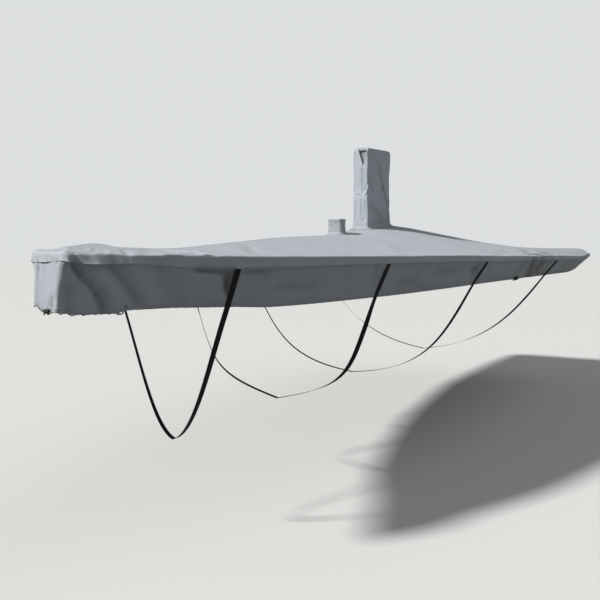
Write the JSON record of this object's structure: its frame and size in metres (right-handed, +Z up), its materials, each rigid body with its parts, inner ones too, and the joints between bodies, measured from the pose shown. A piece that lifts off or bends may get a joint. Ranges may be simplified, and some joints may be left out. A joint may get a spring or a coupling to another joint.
{
  "type": "boat cover",
  "caption": "Fitted canvas boat cover: low peaked top with side, bow and stern skirts, an open collar, a tall closed sock, belly straps under it, a drawcord round the bow and cord loops at the hem.",
  "frame": {"origin": "in the hollow under the top, on the centreline at mid length, level with the side edge", "axes": "+X aft along the cover's length, -Y to port, +Z up"},
  "size_m": [7.4054, 2.5534, 1.8786],
  "materials": {
    "canvas": "woven, matt",
    "webbing": "woven webbing, matt",
    "cord": "braided cord, matt"
  },
  "bodies": {
    "root": {"top_port": "canvas", "top_starboard": "canvas", "skirt_port": "canvas", "skirt_starboard": "canvas", "bow_panel": "canvas", "stern_panel": "canvas", "collar": "canvas", "sock": "canvas", "strap_1": "webbing", "strap_2": "webbing", "strap_3": "webbing", "strap_4": "webbing", "hem_loop_port_1": "cord", "hem_loop_port_2": "cord", "hem_loop_starboard_1": "cord", "hem_loop_starboard_2": "cord", "bow_cord": "cord"}
  },
  "joints": []
}
